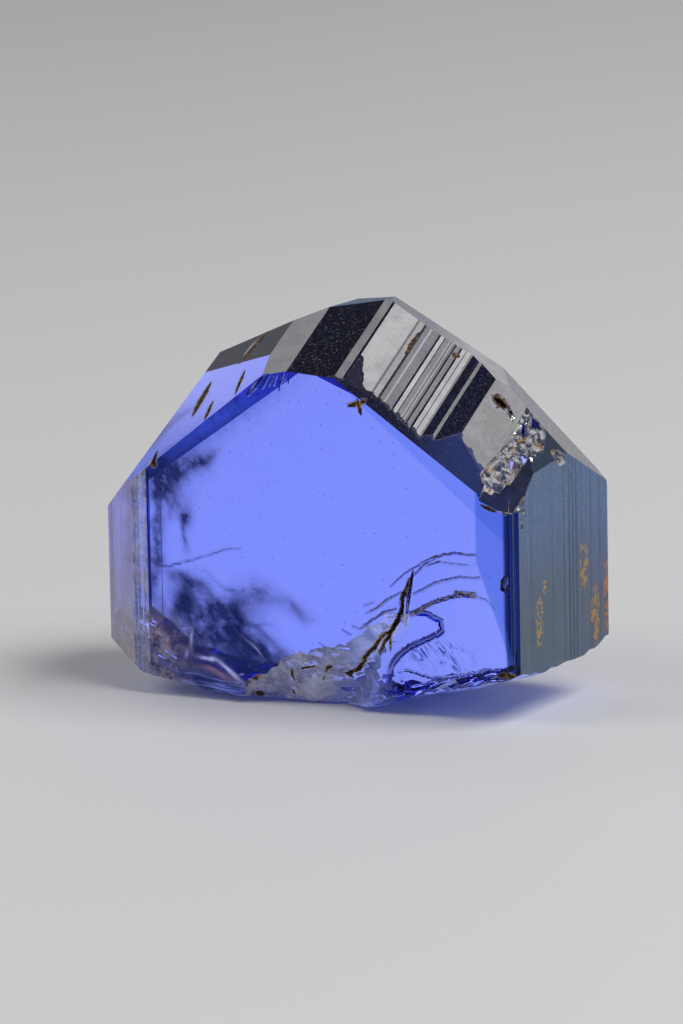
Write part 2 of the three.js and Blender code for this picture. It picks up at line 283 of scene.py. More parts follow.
# cracks and ripples on the front face: points [x, z] in mm, half width, depth, brownness, darkness
marks = dict(
    crack=([[-6.0, 7.14], [-6.17, 6.75], [-6.45, 6.2], [-6.58, 5.48], [-6.9, 4.84], [-7.26, 4.35],
            [-7.4, 4.1], [-7.7, 3.7], [-8.0, 3.25]], 0.11, 0.14, 1.0, 0.6),
    crackLeft=([[-7.26, 4.35], [-7.7, 4.15], [-8.5, 3.3], [-8.9, 3.0], [-9.4, 2.4], [-9.8, 2.0],
                [-10.4, 1.7]], 0.09, 0.12, 1.0, 0.6),
    crackInner=([[-6.14, 6.63], [-6.18, 6.14], [-6.26, 5.58], [-6.4, 4.73]], 0.07, 0.12, 0.3, 0.8),
    upper=([[-6.0, 7.14], [-5.6, 7.55], [-5.2, 7.97], [-4.67, 8.26], [-4.1, 8.56], [-3.4, 8.68], [-2.9, 8.65],
            [-2.28, 8.67]], 0.055, 0.07, 0.35, 0.7),
    upperTwin=([[-7.14, 6.7], [-6.56, 7.19], [-5.93, 7.64], [-5.16, 8.13],
                [-4.4, 8.47]], 0.05, 0.05, 0.1, 0.6),
    left=([[-8.5, 5.26], [-7.86, 5.56], [-7.21, 6.07], [-6.46, 6.48]], 0.055, 0.05, 0.3, 0.6),
    leftShort=([[-8.7, 5.6], [-8.12, 5.84]], 0.05, 0.04, 0.2, 0.6),
    leftLow=([[-8.9, 4.39], [-8.26, 4.85], [-7.48, 5.37], [-6.87, 5.57]], 0.06, 0.06, 0.4, 0.6),
    rippleTop=([[-5.42, 7.68], [-4.3, 8.11], [-3.18, 8.04], [-2.3, 8.1]], 0.12, 0.03, 0.0, 0.1),
    ripple=([[-5.85, 6.39], [-5.25, 6.71], [-4.75, 6.97], [-4.12, 7.22], [-3.23, 7.42],
             [-2.06, 7.5]], 0.08, 0.05, 0.1, 0.45),
    rippleLow=([[-6.06, 5.33], [-5.3, 5.78], [-4.56, 6.12], [-3.81, 6.4], [-3.04, 6.52],
                [-2.38, 6.55]], 0.10, 0.11, 0.5, 0.6),
    rippleEnd=([[-2.39, 6.52], [-1.74, 6.37], [-1.22, 6.01]], 0.06, 0.04, 0.0, 0.3),
    blister=([[-3.5, 6.58], [-2.45, 6.62]], 0.16, 0.10, 0.6, 0.3),
    hook=([[-6.06, 5.35], [-5.56, 5.49], [-5.13, 5.42], [-4.85, 5.24], [-4.43, 5.1], [-4.4, 4.6],
           [-4.65, 4.39], [-5.42, 4.04], [-6.19, 3.64], [-6.94, 3.12], [-7.29, 2.64], [-7.49, 2.04],
           [-7.55, 1.5]], 0.15, 0.15, 0.0, 0.8),
    lowStep=([[-7.2, 2.24], [-6.54, 2.39], [-5.07, 2.09], [-3.78, 2.26], [-2.36, 2.64],
              [-1.17, 2.96]], 0.07, 0.02, 0.0, 0.2),
    spikes=([[-15.1, 16.0], [-14.7, 16.4], [-14.3, 16.9]], 0.13, 0.05, 0.0, 0.95),
    spikeShort=([[-14.25, 16.45], [-13.85, 17.08]], 0.11, 0.05, 0.0, 0.95),
    spikeThin=([[-13.6, 16.6], [-13.42, 17.1]], 0.09, 0.04, 0.0, 0.9),
    spikeLast=([[-13.15, 16.75], [-13.02, 17.15]], 0.08, 0.04, 0.0, 0.9),
    hair=([[-11.27, 3.53], [-10.85, 3.25]], 0.05, 0.03, 0.1, 0.7),
    hairUpper=([[-9.93, 4.31], [-9.45, 4.05]], 0.06, 0.03, 0.1, 0.8),
    hairTop=([[-9.35, 4.51], [-8.96, 4.39]], 0.05, 0.03, 0.1, 0.8),
    innerScratch=([[-20.48, 6.71], [-19.4, 7.0], [-18.0, 7.4], [-16.6, 7.9],
                   [-15.74, 8.04]], 0.06, 0.02, 0.0, 0.6),
)
# a fan of fine leaning lines low on the front face: middle, reach, lean, waves and patches as soft patterns
hackles = dict(middle=(-4.5, 0, 3.3), reach=(2.6, 3.0, 1.2), lean=-0.75, stretch=6,
               waves=(4.0, 0.2, 0.8, 1.0), patches=(0.9, 0.4, 0.6), width=0.16, dark=0.98)
pits = dict(scale=1.7, size=0.062, share=0.55, depth=0.1, dark=0.9)  # sparse dark pits on the front face
# brown stains on the upper faces: middle in mm, direction, half length, half width
stains = [
    [(-19.32, 2.66, 15.09), (-0.05, 0.84, 0.55), 1.25, 0.32],
    [(-16.17, 1.14, 16.39), (-0.21, 0.87, 0.45), 1.0, 0.16],
    [(-17.83, 0.77, 14.88), (-0.2, 0.87, 0.46), 0.8, 0.17],
    [(-20.74, 0.05, 12.13), (-0.23, 0.87, 0.44), 0.95, 0.2],
    [(-17.0, 4.1, 17.75), (0.35, 0.74, 0.58), 1.3, 0.3],
    [(-8.87, 0, 15.88), (0.96, 0, 0.29), 0.5, 0.12],
    [(-8.7, 0, 15.74), (0.25, 0, -0.97), 0.4, 0.12],
    [(-8.5, 0, 16.05), (0.7, 0, 0.7), 0.3, 0.11],
    [(-3.05, 4.3, 15.55), (0.73, 0.23, -0.65), 0.7, 0.44],
    [(-6.0, 5.4, 17.75), (0.79, 0.27, -0.56), 0.2, 0.2],
    [(-7.9, 4.3, 18.4), (0, 0.87, 0.49), 0.9, 0.12],
    [(-1.5, 0.02, 11.08), (0.9, 0, -0.3), 0.5, 0.1],
    [(-0.8, 0.3, 2.6), (1, 0, 0.05), 0.7, 0.16],
    # dark cracks and a rusty spot on the broken surface
    [(-7.3, 0.2, 3.75), (-0.1, 0.1, -1), 0.5, 0.07],
    [(-8.1, 0.6, 2.5), (0.2, -0.15, -1), 0.4, 0.08],
    [(-11.3, 0.7, 1.8), (-0.5, 0.2, -1), 0.45, 0.09],
    [(-11.05, 0.6, 2.15), (1, 0, 0.1), 0.18, 0.12],
    [(-13.05, 0.4, 1.55), (0, 0.2, -1), 0.38, 0.10],
    [(-12.3, 0.35, 2.05), (1, 0, 0.22), 0.75, 0.07],
    [(-15.15, 0.05, 1.25), (0.8, 0, 0.65), 0.65, 0.11],
    [(-15.27, 0.9, 0.4), (1, 0.2, 0.1), 0.22, 0.2],
    [(-13.35, 1.0, 0.6), (0, 0.3, -1), 0.18, 0.1],
    [(-10.35, 1.35, 1.65), (0.8, 0.5, -0.6), 0.3, 0.07],
    [(-14.0, 0.2, 2.3), (1, 0, 0.3), 0.5, 0.06],
]


def strokes():  # carved lines as segments: x, z, x, z, half width, depth at each end, brownness, darkness
    rows = []
    for points, halfWidth, depth, brown, dark in marks.values():
        last = len(points) - 1
        for k in range(last):
            ends = [depth * (crystal["runOut"] if j in (0, last) else 1) for j in (k, k + 1)]
            rows.append([*points[k], *points[k + 1], halfWidth, *ends, brown, dark])
    return rows


carved = strokes()


def readLines(points):  # for points in mm: distance to a line or stain, groove depth, brownness, darkness
    near = np.full(len(points), 99.0)
    depth, brown, dark = np.zeros((3, len(points)))
    x, z = points[:, 0], points[:, 2]
    wander = np.stack([np.sin(5.1 * z + 1.3) + 0.6 * np.sin(11.7 * z - 4.1 * x),
                       np.sin(4.3 * x) + 0.6 * np.sin(12.1 * x + 3.3 * z)], 1) * crystal["wander"]
    for ax, az, bx, bz, halfWidth, startDepth, endDepth, brownness, darkness in carved:
        run = np.array([bx - ax, bz - az])
        rel = points[:, (0, 2)] + wander - (ax, az)
        t = np.clip(rel @ run / (run @ run), 0, 1)
        d = np.hypot(*(rel - t[:, None] * run).T)
        near = np.minimum(near, d)
        here = startDepth + (endDepth - startDepth) * t
        depth = np.maximum(depth, here * np.clip(1 - (d / halfWidth) ** 2, 0, 1))
        brown = np.maximum(brown, brownness * np.clip(1.5 - d / halfWidth, 0, 1))
        dark = np.maximum(dark, darkness * np.clip(1.4 - d / halfWidth, 0, 1))
    behind = np.maximum(points[:, 1] - crystal["lineDepth"], 0)
    near = near + behind
    for amount in (depth, brown, dark):
        amount[behind > 0] = 0
    for middle, direction, halfLength, halfWidth in stains:
        along = np.array(direction) / np.linalg.norm(direction)
        rel = points - middle
        t = np.clip(rel @ along, -halfLength, halfLength)
        d = np.linalg.norm(rel - t[:, None] * along, axis=1)
        width = halfWidth * (1 - 0.7 * (t / halfLength) ** 2)
        near = np.minimum(near, np.maximum(d - halfWidth, 0))
        brown = np.maximum(brown, np.clip(1.6 - 1.1 * d / width, 0, 1))
    return near, depth, brown, dark


def wantedEdge(points, reach):  # longest edge wanted within reach of each point
    wanted = crystal["fineEdge"] + crystal["growth"] * np.maximum(readLines(points)[0] - reach - 0.1, 0)
    for low, high, edge in zones.values():
        away = np.linalg.norm(np.maximum(np.maximum(low - points, points - high), 0), axis=1)
        wanted = np.minimum(wanted, edge + crystal["growth"] * np.maximum(away - reach, 0))
    return wanted


def inMillimetres(vectors):  # metres in the part's frame to mm from the right side, the front and the floor
    return np.array([tuple(v) for v in vectors]) / mm - (rightX, frontY, 0)


def refine(bm, passes=10):
    settled = set()
    for _ in range(passes):
        edges = [e for e in bm.edges if e not in settled]
        if not edges:
            break
        a = inMillimetres(e.verts[0].co for e in edges)
        b = inMillimetres(e.verts[1].co for e in edges)
        length = np.linalg.norm(b - a, axis=1)
        tooLong = length > wantedEdge((a + b) / 2, length / 2)
        settled.update(e for e, split in zip(edges, tooLong) if not split)
        bmesh.ops.subdivide_edges(bm, edges=[e for e, split in zip(edges, tooLong) if split], cuts=1)
        bmesh.ops.triangulate(bm, faces=[f for f in bm.faces if len(f.verts) > 3])


nick, nickFrost = (-0.62, 0.02, 7.4), 0.7  # small chip on the front right edge


def nameFace(face):  # the kind of surface and its frost, for a face of the undivided stone
    x, y, z = inMillimetres([face.calc_center_median()])[0]
    n, area = face.normal, face.calc_area() / mm ** 2
    upright = abs(n.z) < 0.12
    known = [name for name, facing in facings.items() if n.dot(Vector(facing).normalized()) > 0.997]
    name = "front"
    if area < 0.3 and z > 9 and any(math.dist((x, y, z), s[0]) < s[2] for s in stains):
        name = "pit"
    elif abs(n.dot(stepSlant)) < 0.02 and n.z > 0.3 and n.y < -0.2 and -14.7 < x < -1.9:
        return "steps", next((frost for end, frost in growthSteps if x < end), growthSteps[-1][1])
    elif known and area > 0.15:
        name = known[0]
    elif upright and x > -0.3 and n.x > 0.5:
        name = "rightSide"
    elif upright and x > -0.65 and n.x > 0.2 and y < 0.32:
        name = "rightBevel"
    elif upright and x < -21.25 and y < 1.05 and n.y < -0.25:
        name = "leftStrip" if x < -22.2 else "striae"
    elif upright and n.x < -0.7:
        name = "leftSide"
    elif x > -2.8 and z > 9.6 and y < 6.2 and area < 3 and n.y > -0.95:  # the trough at the top right
        name = "chipped"
    elif area < 0.1 and math.dist((x, y, z), nick) < 0.6 and abs(n.y) < 0.97:
        return "chipped", nickFrost
    elif area < 1.5 and -16.4 < x < -6.3 and 0.02 < y < 6.5 and z < 5.3 and n.y < 0 and n.z < 0.9:
        name = "broken"
    elif n.z < -0.5:
        name = "underLeft" if x < -14.5 else "under"
    return name, surfaces[name][0]


def fade(value, low, high):  # smooth step from 0 at low to 1 at high
    t = max(0, min(1, (value - low) / (high - low)))
    return t * t * (3 - 2 * t)


def frostHere(name, frost, x, y, z):  # the frost of a small face, which thins out across some surfaces
    if name == "broken":  # clears to the right of the crack
        beyond = max(0.45 * (1 - fade(x, -8.4, -7.0)), 1 - fade(x - 1.185 * (z - 4.35), -7.1, -6.1))
        return frost * beyond * (0.85 + 0.3 * noise.noise(Vector((x, y, z)) * 0.7))
    if name == "under":
        return frost * (1 + 1.6 * fade(x, -9, -7))
    if name == "leftBevel":
        return frost * (0.25 + 1.1 * fade(z, 12, 16))
    if name == "leftStrip":
        return frost * (0.8 + 0.3 * fade(-z, -8, -2))
    if name == "rim":
        return frost * (0.55 + 0.65 * fade(x, -8.5, -5.5))
    return frost


def wholeStone(mesh):  # the solid's mesh, each flat face in one piece
    bm = bmesh.new()
    bm.from_mesh(mesh)
    bmesh.ops.remove_doubles(bm, verts=bm.verts, dist=crystal["merge"] * mm)
    bmesh.ops.dissolve_limit(bm, angle_limit=math.radians(crystal["flat"]), use_dissolve_boundaries=False,
                             verts=bm.verts, edges=bm.edges)
    return bm


def nameFaces(bm):  # names the faces, divides them and marks the patchy bloom on the front's lower left
    surface = bm.faces.layers.int.new("surface")
    frost = bm.faces.layers.float.new("frost")
    for face in bm.faces:
        name, amount = nameFace(face)
        face[surface], face[frost] = surfaceNames.index(name), amount
    bmesh.ops.triangulate(bm, faces=bm.faces)
    refine(bm)
    bm.normal_update()
    low, high, _ = zones["mottled"]
    for face in bm.faces:
        x, y, z = inMillimetres([face.calc_center_median()])[0]
        if surfaceNames[face[surface]] == "front" and low[0] < x < high[0] and y < high[1] and z < high[2]:
            face[surface], face[frost] = surfaceNames.index("mottled"), surfaces["mottled"][0]
    return surface, frost


def dentAt(name, place):  # depth of the relief in mm: sharp crests where it is chipped, soft waves elsewhere
    high, grain = crystal["relief"][name]
    if name == "chipped":
        return high * (1.2 - 0.6 * noise.ridged_multi_fractal(place * grain, 1.0, 2.1, 3, 1.0, 2.0))
    return high * (0.3 + noise.fractal(place * grain, 0.9, 2.1, 4))


def carve(bm, surface, points, depth):  # grooves along the lines, and the relief of the rough surfaces
    rough = {surfaceNames.index(name): name for name in crystal["relief"]}
    for v, p, d in zip(bm.verts, points, depth):
        touching = {f[surface] for f in v.link_faces}
        if d > 0 and v.normal.y < -0.3:
            v.co.y += d * mm
        if touching <= rough.keys():
            dent = dentAt(rough[min(touching)], Vector(p))
            if v.normal.z < -0.3:  # the resting flat stays as it is
                dent = min(dent, p[2] - crystal["reliefFrom"])
            v.co -= v.normal * max(0, dent) * mm


def makeCrystal():
    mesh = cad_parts["tanzanite_crystal"].data.copy()
    mesh.name = "crystal"
    for a in list(mesh.attributes):
        if a.name.startswith("sharp") or a.name == "custom_normal":
            mesh.attributes.remove(a)
    bm = wholeStone(mesh)
    surface, frost = nameFaces(bm)
    points = inMillimetres(v.co for v in bm.verts)
    _, depth, brown, dark = readLines(points)
    carve(bm, surface, points, depth)
    shadesAndSatins, kinds = [], []
    for face in bm.faces:
        name = surfaceNames[face[surface]]
        _, shadeAndSatin, kind = surfaces[name]
        face.smooth = name in crystal["relief"] and name != "chipped"
        if face[frost] > 0:
            middle = inMillimetres([face.calc_center_median()])[0]
            face[frost] = frostHere(name, face[frost], *middle)
        shadesAndSatins.append(shadeAndSatin)
        kinds.append(skinKinds.index(kind) if kind else 0)  # a surface without a film never uses its kind
    for e in bm.edges:
        e.smooth = len({f[surface] for f in e.link_faces}) == 1
    lowest, highest = cadBox
    for v in bm.verts:  # the reliefs stay inside the solid's box
        v.co = Vector(max(a, min(c, b)) for a, c, b in zip(lowest, v.co, highest)) * crystal["shrink"]
    bm.to_mesh(mesh)
    bm.free()
    for name, kind, domain, values in (("shadeAndSatin", "FLOAT", "FACE", shadesAndSatins), ("kind", "INT", "FACE", kinds),
                                       ("rust", "FLOAT", "POINT", brown), ("dark", "FLOAT", "POINT", dark)):
        mesh.attributes.new(name, kind, domain).data.foreach_set("value", values)
    mesh.materials.clear()
    return addObject("crystal", mesh)


# shader groups that several finishes use
def newGroup(name, inputs, outputs):
    tree = bpy.data.node_groups.new(name, "ShaderNodeTree")
    for label, kind, value in inputs:
        socket = tree.interface.new_socket(label, in_out="INPUT", socket_type="NodeSocket" + kind)
        if value is not None:
            socket.default_value = value
    for label, kind in outputs:
        tree.interface.new_socket(label, in_out="OUTPUT", socket_type="NodeSocket" + kind)
    return tree, tree.nodes.new("NodeGroupInput").outputs, tree.nodes.new("NodeGroupOutput").inputs


def makeMillimetres():  # Object coordinates in millimetres
    tree, _, out = newGroup("millimetres", [], [("Place", "Vector")])
    place = put(tree, "TexCoord").outputs["Object"]
    scaled = put(tree, "VectorMath", {"Vector": place}, operation="SCALE", Scale=1 / mm)
    tree.links.new(scaled.outputs[0], out["Place"])
    return tree


def makeGrain():  # etched grain: 0 in the hollows, 1 on the crests
    tree, given, out = newGroup("etchedGrain", [("Place", "Vector", None), ("Scale", "Float", 6.0),
                                ("Low", "Float", 0.4), ("High", "Float", 0.6), ("Detail", "Float", 4.0)],
                                [("Grain", "Float")])
    texture = put(tree, "TexNoise", {"Vector": given["Place"], "Scale": given["Scale"],
                                     "Detail": given["Detail"]}, Roughness=0.65)
    step = put(tree, "MapRange", {"Value": texture.outputs["Fac"], "From Min": given["Low"],
                                  "From Max": given["High"]}, interpolation_type="SMOOTHSTEP")
    tree.links.new(step.outputs["Result"], out["Grain"])
    return tree


def makeGrowthLines():  # fine upright lines, drawn out along Z
    tree, given, out = newGroup("growthLines", [("Place", "Vector", None), ("Scale", "Float", 5.0)],
                                [("Lines", "Float")])
    drawn = vectorCalc(tree, "MULTIPLY", given["Place"], (1, 1, 0.025))[0]
    texture = put(tree, "TexNoise", {"Vector": drawn, "Scale": given["Scale"]}, Detail=3.0, Roughness=0.7)
    tree.links.new(texture.outputs["Fac"], out["Lines"])
    return tree


def makeSpecks():  # small round specks, some of them missing
    tree, given, out = newGroup("specks", [("Place", "Vector", None), ("Scale", "Float", 4.0),
                                ("Size", "Float", 0.1), ("Share", "Float", 0.3)], [("Specks", "Float")])
    cells = put(tree, "TexVoronoi", {"Vector": given["Place"], "Scale": given["Scale"]})
    near = calc(tree, "LESS_THAN", cells.outputs["Distance"], given["Size"])
    pick = put(tree, "SeparateColor", {"Color": cells.outputs["Color"]}).outputs[0]
    chosen = calc(tree, "LESS_THAN", pick, given["Share"])
    tree.links.new(times(tree, near, chosen), out["Specks"])
    return tree


groups = dict(place=makeMillimetres(), grain=makeGrain(), lines=makeGrowthLines(), specks=makeSpecks())


def useGroup(tree, which, place=None, *settings):  # settings: the inputs that follow Place, in their order
    node = tree.nodes.new("ShaderNodeGroup")
    node.node_tree = groups[which]
    if place is not None:
        tree.links.new(place, node.inputs["Place"])
    for socket, value in zip(node.inputs[1:], settings):
        socket.default_value = value
    return node.outputs[0]


def stored(tree, name):  # an attribute of the mesh
    return put(tree, "Attribute", attribute_name=name).outputs["Fac"]


def frontPits(tree, place):  # 1 in a pit
    x, y, z = (axis(tree, place, k) for k in range(3))
    flat = put(tree, "CombineXYZ", {0: x, 1: z}).outputs[0]
    cells = put(tree, "TexVoronoi", {"Vector": flat}, voronoi_dimensions="2D", Scale=pits["scale"])
    shade = put(tree, "SeparateColor", {"Color": cells.outputs["Color"]}).outputs
    near = calc(tree, "LESS_THAN", cells.outputs["Distance"], times(tree, shade[1], pits["size"]))
    chosen = times(tree, near, calc(tree, "LESS_THAN", shade[0], pits["share"]))
    return times(tree, chosen, calc(tree, "LESS_THAN", y, frontY + pits["depth"]))


def hairLines(tree, place):  # 1 on a line
    h = hackles
    lean = put(tree, "Mapping", {"Vector": place}, vector_type="TEXTURE", Rotation=(0, h["lean"], 0),
               Scale=(1, 1, h["stretch"]))
    waves = useGroup(tree, "grain", lean.outputs[0], *h["waves"])
    line = middleLine(tree, waves, h["width"] / 2, h["width"])
    inside = ramp(tree, apart(tree, place, spot(*h["middle"]) / mm, h["reach"]), 0.5, 1, 1, 0)
    return times(tree, times(tree, line, inside), useGroup(tree, "grain", place, *h["patches"]))


def paintedShadeBands(tree, place):  # painted shade: deeper bands along the front face's right edges, standing in for the darker view through the stone there: amount and colour of each
    x, y, z = (axis(tree, place, k) for k in range(3))
    onFront = calc(tree, "LESS_THAN", y, frontY + bands["depth"])
    above = pastPlane(tree, place, Vector(bands["facing"]).normalized(), spot(*bands["corner"]) / mm)
    below = calc(tree, "MAXIMUM", calc(tree, "SUBTRACT", bands["narrowsAt"], z), 0)
    right = calc(tree, "SUBTRACT", calc(tree, "SUBTRACT", x, rightX + bands["endFrom"]),
                 times(tree, below, bands["narrowing"]))
    edge = calc(tree, "SUBTRACT", x, rightX + bands["edgeFrom"])
    shades = (crystal[name] for name in ("band", "endBand", "edgeBand"))
    for reach, width, shade in zip((above, right, edge), bands["softness"], shades):
        yield times(tree, ramp(tree, reach, -width, width), onFront), shade


def tanzanite():
    material, tree, shader = newMaterial("tanzanite")
    shader.inputs["Transmission Weight"].default_value = 1
    shader.inputs["IOR"].default_value = crystal["ior"]
    shader.inputs["Specular Tint"].default_value = (crystal["glare"], crystal["glare"], crystal["glare"], 1)
    place = useGroup(tree, "place")
    shadeAndSatin = stored(tree, "shadeAndSatin")
    # painted shade: the more shade a face carries, the nearer its colour comes to black
    tint = mixColor(tree, shadeAndSatin, (1, 1, 1), crystal["shadedFacet"])
    tint = mixColor(tree, stored(tree, "dark"), tint, crystal["shadow"])
    tint = mixColor(tree, stored(tree, "rust"), tint, crystal["brown"])
    tint = mixColor(tree, times(tree, frontPits(tree, place), pits["dark"]), tint, crystal["shadow"])
    tint = mixColor(tree, times(tree, hairLines(tree, place), hackles["dark"]), tint, crystal["shadow"])
    # painted shade: the bands darken the glass by multiplying its colour
    for amount, shade in paintedShadeBands(tree, place):
        tint = mixColor(tree, amount, tint, shade, "MULTIPLY")
    tree.links.new(tint, shader.inputs["Base Color"])
    tree.links.new(ramp(tree, shadeAndSatin, 0, 1, crystal["polish"], crystal["satin"]), shader.inputs["Roughness"])
    lines = useGroup(tree, "lines", place, crystal["growthLines"])
    etching = useGroup(tree, "grain", place, *crystal["etching"])
    b = crystal["bump"]
    height = calc(tree, "ADD", times(tree, etching, b["etching"]), times(tree, lines, b["lines"]))
    bump = put(tree, "Bump", {"Height": times(tree, height, shadeAndSatin)}, Strength=b["strength"],
               Distance=b["height"] * mm)
    tree.links.new(bump.outputs[0], shader.inputs["Normal"])
    soak = put(tree, "VolumeAbsorption", Color=(*crystal["tint"], 1), Density=crystal["density"])
    tree.links.new(soak.outputs[0], tree.nodes["Material Output"].inputs["Volume"])
    return material


stone = makeCrystal()
stone.data.materials.append(tanzanite())
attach(stone, "root")
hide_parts("tanzanite_crystal")
print("crystal done:", len(stone.data.polygons), "faces")

# frosted skin: the etched, scattering surface of the satin, bright, milky and stained faces
frosted = dict(
    lift=0.004,  # height of the film above the crystal in mm
    lowest=0.02,  # no film where a face stays under this height in mm
    thinnest=0.002, roughness=0.45, shine=0.2, hollows=0.8,
    # the base colour of each kind of film
    etched=(0.76, 0.76, 0.78), satin=(0.31, 0.42, 0.54), lilac=(0.70, 0.64, 1.0), violet=(0.66, 0.62, 1.0),
    milky=(0.80, 0.77, 0.68), chipped=(0.95, 0.94, 0.92),
    # colours that are mixed in
    violetGlow=(0.05, 0.10, 0.50), satinHigh=(0.30, 0.47, 0.66), beige=(0.56, 0.51, 0.46),
    rustDark=(0.03, 0.015, 0.005), rustBright=(0.45, 0.24, 0.05), around=(0.74, 0.70, 0.82),
    # painted shade: the nearly black border along the front bevel, with its dusty tone and its bluer tone
    shadedBorder=(0.012, 0.012, 0.035), borderDust=(0.15, 0.15, 0.31), borderBlue=(0.04, 0.07, 0.28),
    mist=(0.30, 0.28, 0.46), bloom=(0.36, 0.31, 0.38), pink=(0.72, 0.42, 0.48), soot=(0.03, 0.03, 0.06),
    # painted light: the blue colour and the glow that the milky film takes on towards the right
    vein=(0.10, 0.07, 0.05), glowingMilk=(0.58, 0.64, 1.0), milkGlow=(0.08, 0.13, 0.42),
    # painted shade: the dark hollow colour below, used between the chips' flakes and in the pepper specks
    hollowShade=(0.10, 0.12, 0.18), gold=(0.65, 0.38, 0.09),
    bevelPoint=(-4.8, 0.2, 14.0), roundedEnd=(-9.64, -8.5),
    # soft patterns: scale, level of the hollows, level of the crests, detail
    grain=(7.0, 0.3, 0.7, 2.0), clouds=(0.8, 0.35, 0.65), patches=(3.4, 0.5, 0.7), feathers=(5.0, 0.3, 0.7),
    dust=(8.0, 0.54, 0.74, 2.0), ragged=(1.6, 0.3, 0.7, 1.0), seams=(0.75, 0.2, 0.8), golden=(0.9, 0.52, 0.7),
    rosy=(1.1, 0.5, 0.68), smudges=(1.5, 0.35, 0.6, 3.0), shadows=(1.9, 0.50, 0.64),
    glintFlakes=(2.6, 0.45, 0.56), goldFlakes=(1.7, 0.56, 0.62), worms=(2.4, 0.2, 0.8, 2.0),
    blotches=(2.2, 0.38, 0.56),
    # specks: scale, size, share
    pepper=(5.5, 0.22, 0.35), flecks=(6.0, 0.2, 0.16),
)
# stains on the right side face: centre and reach along Y and Z in mm, how worm-like, colour
sideStains = [
    [(2.45, 5.0), (0.6, 1.7), 1, (0.62, 0.40, 0.10)], [(3.1, 6.7), (0.3, 0.5), 1, (0.62, 0.40, 0.10)],
    [(7.5, 7.0), (0.7, 1.6), 0, (0.42, 0.30, 0.14)], [(8.8, 4.2), (0.7, 2.0), 0, (0.48, 0.30, 0.12)],
    [(10.1, 5.0), (0.45, 2.4), 0, (0.55, 0.20, 0.08)],
]


def makeFrost():
    bm = bmesh.new()
    bm.from_mesh(stone.data)
    frost, kind = bm.faces.layers.float["frost"], bm.faces.layers.int["kind"]
    rust = bm.verts.layers.float["rust"]
    rusty = {f for f in bm.faces if sum(v[rust] for v in f.verts) > 0.05}
    bare = [f for f in bm.faces if f not in rusty and f[frost] < frosted["thinnest"]
            or max(v.co.z for v in f.verts) < frosted["lowest"] * mm]
    for f in bm.faces:
        f.material_index = skinKinds.index("rust") if f in rusty else f[kind]
    bmesh.ops.delete(bm, geom=bare, context="FACES")
    for v in bm.verts:
        v.co += v.normal * frosted["lift"] * mm
        v.co.z = max(v.co.z, frosted["lift"] * mm / 4)
    mesh = bpy.data.meshes.new("frostedSkin")
    bm.to_mesh(mesh)
    bm.free()
    return addObject("frostedSkin", mesh)


def soft(tree, place, name):  # one of the film's soft patterns
    return useGroup(tree, "grain", place, *frosted[name])


def blend(tree, share, weight, a, b):  # from a to b by a weighted share
    return mixColor(tree, times(tree, share, weight), a, b)


def overStain(tree, place, color, alpha, stain):  # one stain on the right side face
    (y, z), (reachY, reachZ), worm, shade = stain
    far = apart(tree, place, (rightX, y + frontY, z), (1, reachY, reachZ))
    if worm:
        pattern = middleLine(tree, soft(tree, place, "worms"), 0.05, 0.12)
    else:
        pattern = soft(tree, place, "blotches")
    inside = times(tree, ramp(tree, far, 0.6, 1, 1, 0), pattern)
    amount = times(tree, inside, calc(tree, "GREATER_THAN", axis(tree, place, 0), rightX - 0.08))
    return mixColor(tree, amount, color, shade), calc(tree, "MAXIMUM", alpha, times(tree, amount, 0.85))


def aboveBevel(tree, place):  # 1 on the bright steps, 0 in the ragged border of painted shade along the front bevel
    under = pastPlane(tree, place, Vector(facings["frontBevel"]), spot(*frosted["bevelPoint"]) / mm)
    x = axis(tree, place, 0)
    left, right = (rightX + end for end in frosted["roundedEnd"])
    rounded = times(tree, ramp(tree, x, left, right, 1.1, 0), calc(tree, "GREATER_THAN", x, left))
    shadedBorder = calc(tree, "ADD", rounded, times(tree, soft(tree, place, "ragged"), 0.16))
    return ramp(tree, calc(tree, "ADD", under, shadedBorder), -0.07, -0.03, 1, 0)


# the kinds of film: each changes its colour and alpha and may carry a painted glow, standing in for light
# that shows through from inside
def rustFilm(tree, place, frost, clouds, color, alpha):
    feathered = times(tree, soft(tree, place, "feathers"), 0.7)
    stained = ramp(tree, calc(tree, "ADD", stored(tree, "rust"), feathered), 0.6, 1.0)
    around = mixColor(tree, ramp(tree, axis(tree, place, 2), 6, 9), frosted["milky"], frosted["around"])
    rusty = mixColor(tree, soft(tree, place, "patches"), frosted["rustDark"], frosted["rustBright"])
    alpha = calc(tree, "MAXIMUM", stained, times(tree, frost, 0.9))
    return mixColor(tree, stained, around, rusty), alpha, None


